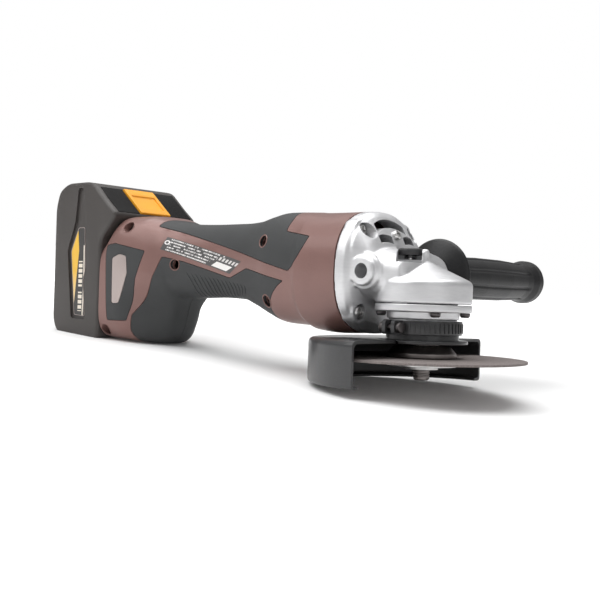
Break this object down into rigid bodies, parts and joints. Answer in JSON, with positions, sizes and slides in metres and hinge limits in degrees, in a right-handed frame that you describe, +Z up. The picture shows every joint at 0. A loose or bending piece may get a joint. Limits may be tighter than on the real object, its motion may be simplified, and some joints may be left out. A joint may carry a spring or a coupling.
{
  "type": "angle grinder",
  "caption": "Cordless right-angle grinder with a wheel guard, abrasive disc, side handle, spindle lock and slide-on battery pack.",
  "frame": {"origin": "centre of the spindle's free end", "axes": "+Z up the spindle into the gear head, +X forward, away from the battery, +Y towards the side handle"},
  "size_m": [0.3535, 0.221, 0.1228],
  "materials": {
    "cast_aluminium": "satin, cast",
    "steel": "machined",
    "dark_steel": "blackened",
    "guard_paint": "satin black",
    "brown_plastic": "fine texture",
    "grip_rubber": "matt",
    "black_plastic": "fine texture",
    "battery_plastic": "fine texture",
    "latch_plastic": "satin",
    "badge": "satin silver",
    "abrasive": "rough",
    "windings": "steel sheets and copper wire",
    "bronze": "machined",
    "circuit_board": "lacquered",
    "cell_wrap": "plastic wrap, density near that of real cells"
  },
  "bodies": {
    "tool": {"housing_left": "brown_plastic", "housing_right": "brown_plastic", "grip_upper_left": "grip_rubber", "grip_upper_right": "grip_rubber", "grip_lower_left": "grip_rubber", "grip_lower_right": "grip_rubber", "foot_panel_left": "grip_rubber", "foot_panel_right": "grip_rubber", "foot_badge_left": "badge", "foot_badge_right": "badge", "housing_screw_1": "steel", "housing_screw_2": "steel", "housing_screw_3": "steel", "housing_screw_4": "steel", "housing_screw_5": "steel", "gear_case": "cast_aluminium", "gear_case_screw_1": "steel", "gear_case_screw_2": "steel", "gear_case_screw_3": "steel", "gear_case_screw_4": "steel", "bearing_plate": "cast_aluminium", "plate_screw_1": "dark_steel", "plate_screw_2": "dark_steel", "plate_screw_3": "dark_steel", "plate_screw_4": "dark_steel", "spindle_bearing": "steel", "spindle_bush": "bronze", "motor_stator": "windings", "motor_bearing_front": "steel", "motor_bearing_rear": "steel", "fan_baffle": "black_plastic", "lock_spring": "steel", "switch_body": "black_plastic", "control_board": "circuit_board", "terminal_block": "black_plastic"},
    "rotor": {"rotor_core": "windings", "motor_shaft": "steel", "cooling_fan": "black_plastic", "pinion_gear": "steel"},
    "spindle": {"spindle": "steel", "bevel_gear": "steel", "inner_flange": "dark_steel", "lock_nut": "steel", "cutting_disc": "abrasive"},
    "lock": {"lock_button": "black_plastic"},
    "guard": {"guard_shell": "guard_paint", "guard_clamp_band": "guard_paint", "guard_clamp_screw": "steel"},
    "switch": {"switch_slider": "black_plastic", "switch_rod": "black_plastic"},
    "side_handle": {"handle_grip": "black_plastic", "handle_stud": "steel"},
    "battery": {"battery_case_rear": "battery_plastic", "battery_case_front": "battery_plastic", "cell_row_1": "cell_wrap", "cell_row_2": "cell_wrap", "battery_board": "circuit_board"},
    "latch": {"battery_latch": "latch_plastic"}
  },
  "joints": [
    {"name": "rotor_spin", "type": "hinge", "parent": "tool", "child": "rotor", "pos_m": [0, 0, 0.059], "axis": [1, 0, 0], "continuous": true},
    {"name": "spindle_spin", "type": "hinge", "parent": "tool", "child": "spindle", "pos_m": [0, 0, 0], "axis": [0, 0, 1], "continuous": true},
    {"name": "lock_press", "type": "slide", "parent": "tool", "child": "lock", "axis": [0, 0, -1], "range_m": [0, 0.0024], "stiffness_N_per_m": 900, "springref_m": -0.003, "deforming": ["lock_spring"]},
    {"name": "guard_turn", "type": "hinge", "parent": "tool", "child": "guard", "pos_m": [0, 0, 0], "axis": [0, 0, 1], "range_deg": [-45, 90]},
    {"name": "switch_slide", "type": "slide", "parent": "tool", "child": "switch", "axis": [1, 0, 0], "range_m": [0, 0.004]},
    {"name": "side_handle_out", "type": "slide", "parent": "tool", "child": "side_handle", "axis": [0, 1, 0], "range_m": [0, 0.014]},
    {"name": "battery_slide", "type": "slide", "parent": "tool", "child": "battery", "axis": [0, 0, 1], "range_m": [0, 0.11]},
    {"name": "latch_press", "type": "slide", "parent": "battery", "child": "latch", "axis": [-0.6452, 0, -0.764], "range_m": [0, 0.0025], "stiffness_N_per_m": 900, "springref_m": -0.003}
  ],
  "couplings": [
    {"joint": "spindle_spin", "follows": "rotor_spin", "ratio": -0.28571}
  ]
}
